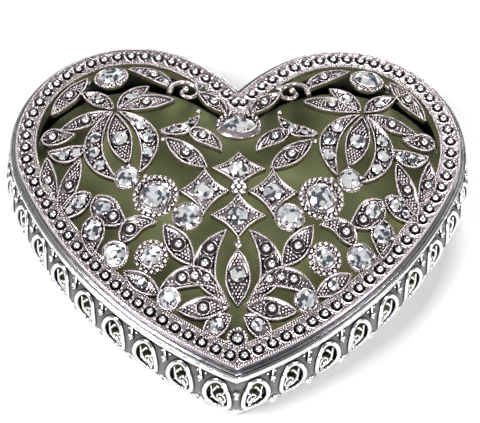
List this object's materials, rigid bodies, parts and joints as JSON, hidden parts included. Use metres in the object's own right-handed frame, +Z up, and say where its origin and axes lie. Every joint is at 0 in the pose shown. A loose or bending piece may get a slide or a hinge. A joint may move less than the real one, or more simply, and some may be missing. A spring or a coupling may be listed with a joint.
{
  "type": "heart-shaped trinket box",
  "caption": "Heart-shaped metal trinket box: openwork jewelled domed lid hinged behind the lobes, pierced scroll wall, velvet pad inside.",
  "frame": {"origin": "on the surface the box stands on, at the middle of its outline", "axes": "+X across the two lobes, +Y from the heart's tip to its cleft, +Z up"},
  "size_m": [0.11, 0.0912, 0.0274],
  "materials": {
    "antique_silver": "antiqued silver plate, dark in the recesses",
    "bright_silver": "bright silver plate, blackened in the piercings",
    "crystal": "clear faceted glass with a foiled back",
    "velvet": "olive green velvet",
    "card": "grey board",
    "pin_steel": "drawn wire"
  },
  "bodies": {
    "base": {"base_hinge_leaf_left": "bright_silver", "base_hinge_leaf_right": "bright_silver", "floor_plate": "bright_silver", "foot_band": "bright_silver", "hinge_pin_left": "pin_steel", "hinge_pin_right": "pin_steel", "lower_balls": "bright_silver", "pad_card": "card", "scrolls_left": "bright_silver", "scrolls_right": "bright_silver", "top_rim": "bright_silver", "upper_balls": "bright_silver", "velvet_pad": "velvet", "wall_left": "bright_silver", "wall_right": "bright_silver"},
    "lid": {"border_beads": "antique_silver", "border_sprigs": "antique_silver", "centre_diamonds": "antique_silver", "cluster_beads": "antique_silver", "diamond_stones": "crystal", "inner_collet_settings": "antique_silver", "inner_collet_stones": "crystal", "leaf_beads": "antique_silver", "leaf_stones": "crystal", "lid_border": "antique_silver", "lid_hinge_leaf_left": "antique_silver", "lid_hinge_leaf_right": "antique_silver", "lobe_bezel_settings": "antique_silver", "lobe_bezel_stones": "crystal", "lobe_flowers": "antique_silver", "locating_lip": "antique_silver", "lower_collet_settings": "antique_silver", "lower_collet_stones": "crystal", "oval_setting": "antique_silver", "oval_stone": "crystal", "pendant_collet_settings": "antique_silver", "pendant_collet_stones": "crystal", "petal_stones": "crystal", "rosette_halos": "antique_silver", "rosette_settings": "antique_silver", "rosette_stones": "crystal", "shoulder_sprigs": "antique_silver", "side_collet_settings": "antique_silver", "side_collet_stones": "crystal", "side_trefoils": "antique_silver", "small_rosette_settings": "antique_silver", "small_rosette_stones": "crystal", "tip_boss": "antique_silver", "tip_flower": "antique_silver"}
  },
  "joints": [
    {"name": "lid_hinge", "type": "hinge", "parent": "base", "child": "lid", "pos_m": [0, 0.04446, 0.014], "axis": [-1, 0, 0], "range_deg": [0, 105]}
  ]
}
